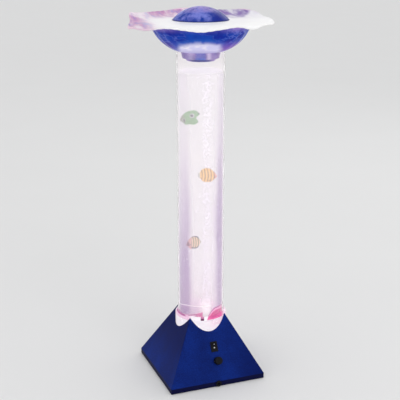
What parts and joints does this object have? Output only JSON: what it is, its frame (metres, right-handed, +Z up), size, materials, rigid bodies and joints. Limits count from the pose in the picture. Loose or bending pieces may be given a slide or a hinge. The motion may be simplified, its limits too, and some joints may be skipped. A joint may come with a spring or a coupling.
{
  "type": "water column lamp",
  "caption": "Bubbling water column lamp: a clear tube with toy fish on a pyramid base, with a glass bowl, a wavy-edged dish and a dome on top.",
  "frame": {"origin": "middle of the base on the floor", "axes": "+Z up along the tube, -Y towards the face with the switch"},
  "size_m": [0.2965, 0.2951, 0.7935],
  "materials": {
    "shell_blue": "glossy moulded blue ABS",
    "base_black": "moulded black plastic",
    "switch_black": "black nylon with white marks",
    "soft_rubber": "black rubber",
    "silicone_clear": "clear silicone",
    "steel": "zinc-plated steel",
    "brass_plain": "plain brass",
    "copper_wire": "enamelled copper winding",
    "tube_clear": "clear cast acrylic",
    "collar_clear": "clear acrylic, lit pink from below",
    "water_clear": "bubbling water",
    "stone_grey": "porous ceramic",
    "board_green": "green circuit board",
    "part_dark": "dark electronic parts",
    "led_lens": "white lamp lenses",
    "magnet_grey": "sintered ferrite",
    "fish_green_skin": "green painted plastic",
    "fish_orange_skin": "orange painted plastic",
    "fish_striped_skin": "pale striped painted plastic",
    "glass_blue": "deep blue glass",
    "glass_pale": "pale milky glass",
    "lead_black": "black sheathed lead"
  },
  "bodies": {
    "stand": {"base_shell": "shell_blue", "bottom_plate": "base_black", "rubber_feet": "soft_rubber", "bottom_screws": "steel", "tube": "tube_clear", "tube_socket": "base_black", "socket_screws": "steel", "tube_plug": "tube_clear", "plug_seal": "soft_rubber", "tube_collar": "collar_clear", "water": "water_clear", "air_nozzle": "brass_plain", "nozzle_nut": "brass_plain", "air_stone": "stone_grey", "hose_upper": "silicone_clear", "hose_lower": "silicone_clear", "check_valve": "led_lens", "led_board": "board_green", "leds": "led_lens", "led_screws": "steel", "pump_case": "base_black", "pump_base": "base_black", "pump_mounts": "soft_rubber", "pump_core": "steel", "pump_winding": "copper_wire", "pump_pivot": "steel", "pump_bellows": "soft_rubber", "pump_valve_block": "base_black", "switch_housing": "switch_black", "switch_terminals": "brass_plain", "dimmer_body": "part_dark", "dimmer_nut": "steel", "power_inlet": "switch_black", "inlet_nut": "steel", "driver_board": "board_green", "driver_parts": "part_dark", "driver_screws": "steel", "lead_inlet": "lead_black", "lead_switch": "lead_black", "lead_dimmer": "lead_black", "lead_lamp": "lead_black", "lead_pump": "lead_black"},
    "rocker": {"switch_rocker": "switch_black"},
    "dimmer_dial": {"knob": "switch_black", "dimmer_shaft": "steel"},
    "vibrator": {"pump_arm": "steel", "pump_magnet": "magnet_grey"},
    "green_swimmer": {"fish_green": "fish_green_skin"},
    "orange_swimmer": {"fish_orange": "fish_orange_skin"},
    "striped_swimmer": {"fish_striped": "fish_striped_skin"},
    "bowl": {"glass_bowl": "glass_blue"},
    "dish": {"ruffled_dish": "glass_pale"},
    "dome": {"glass_dome": "glass_blue"}
  },
  "joints": [
    {"name": "rocker_press", "type": "hinge", "parent": "stand", "child": "rocker", "pos_m": [0.003, -0.07209, 0.07725], "axis": [1, 0, 0], "range_deg": [-18, 0]},
    {"name": "dimmer_turn", "type": "hinge", "parent": "stand", "child": "dimmer_dial", "pos_m": [0.005, -0.08672, 0.04992], "axis": [0, -0.8817, 0.4717], "range_deg": [-135, 135]},
    {"name": "pump_swing", "type": "hinge", "parent": "stand", "child": "vibrator", "pos_m": [-0.026, 0.073, 0.023], "axis": [0, 0, 1], "range_deg": [-1.5, 1.5], "stiffness_Nm_per_rad": 0.05, "deforming": ["pump_bellows"]},
    {"name": "green_fish_swim", "type": "slide", "parent": "stand", "child": "green_swimmer", "axis": [0, 0, 1], "range_m": [-0.461, 0.078], "deforming": ["water"]},
    {"name": "orange_fish_swim", "type": "slide", "parent": "stand", "child": "orange_swimmer", "axis": [0, 0, 1], "range_m": [-0.342, 0.197], "deforming": ["water"]},
    {"name": "striped_fish_swim", "type": "slide", "parent": "stand", "child": "striped_swimmer", "axis": [0, 0, 1], "range_m": [-0.181, 0.358], "deforming": ["water"]},
    {"name": "bowl_lift", "type": "slide", "parent": "stand", "child": "bowl", "axis": [0, 0, 1], "range_m": [0, 0.06]},
    {"name": "dish_lift", "type": "slide", "parent": "bowl", "child": "dish", "axis": [0, 0, 1], "range_m": [0, 0.05]},
    {"name": "dome_lift", "type": "slide", "parent": "dish", "child": "dome", "axis": [0, 0, 1], "range_m": [0, 0.05]}
  ]
}
